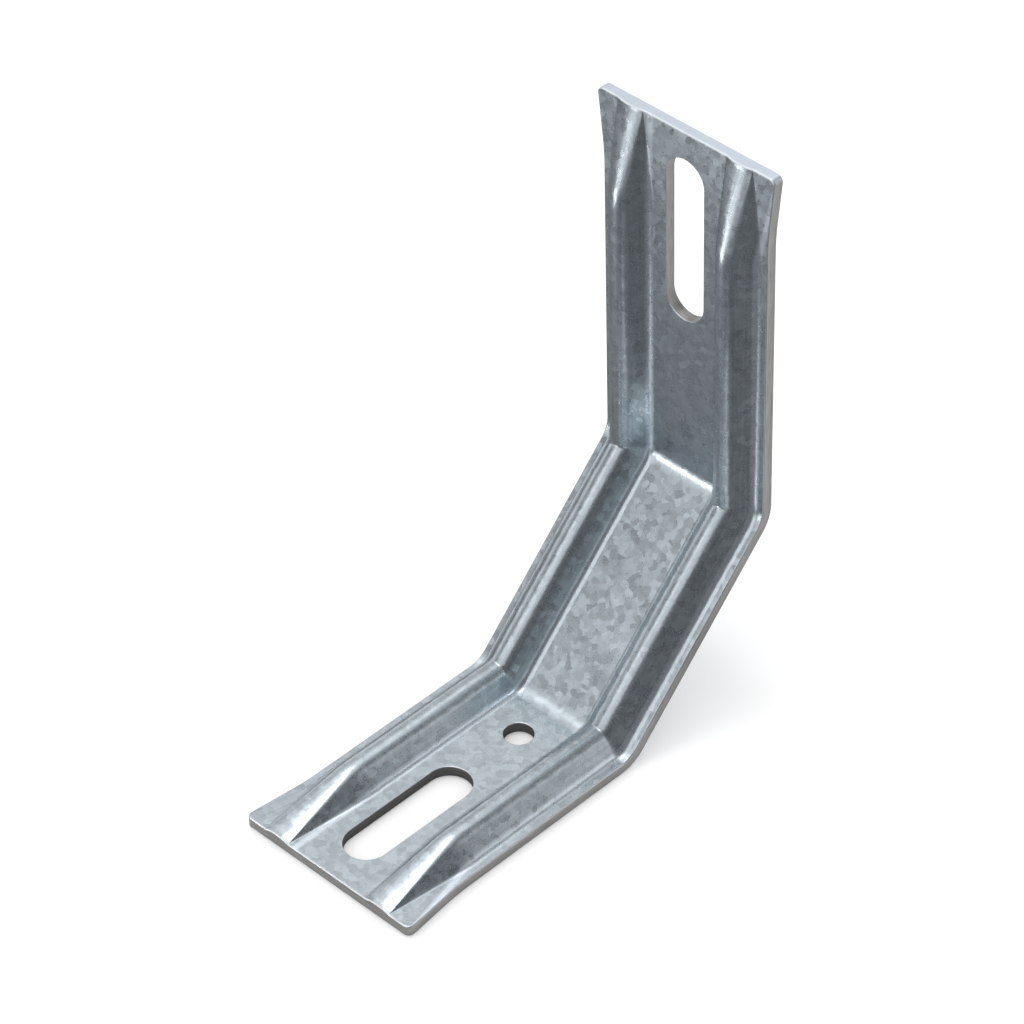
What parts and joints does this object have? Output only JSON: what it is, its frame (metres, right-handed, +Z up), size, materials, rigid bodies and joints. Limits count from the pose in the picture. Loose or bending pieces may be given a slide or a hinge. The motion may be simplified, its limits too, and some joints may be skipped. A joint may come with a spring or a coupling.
{
  "type": "window frame fixing bracket",
  "caption": "Folded and ribbed sheet steel bracket with slotted legs and a fixing hole, for holding a window frame to a wall or sill.",
  "frame": {"origin": "centre of the upper leg's slot, on the outer face of the upper leg", "axes": "+X across the strip, +Y out of the upper leg's outer face towards the wall, +Z up along the upper leg; the lower leg points along -Y"},
  "size_m": [0.0398, 0.0909, 0.1083],
  "materials": {
    "galvanised_steel": "hot-dip galvanised with a fine spangle"
  },
  "bodies": {
    "root": {"bracket": "galvanised_steel"}
  },
  "joints": []
}
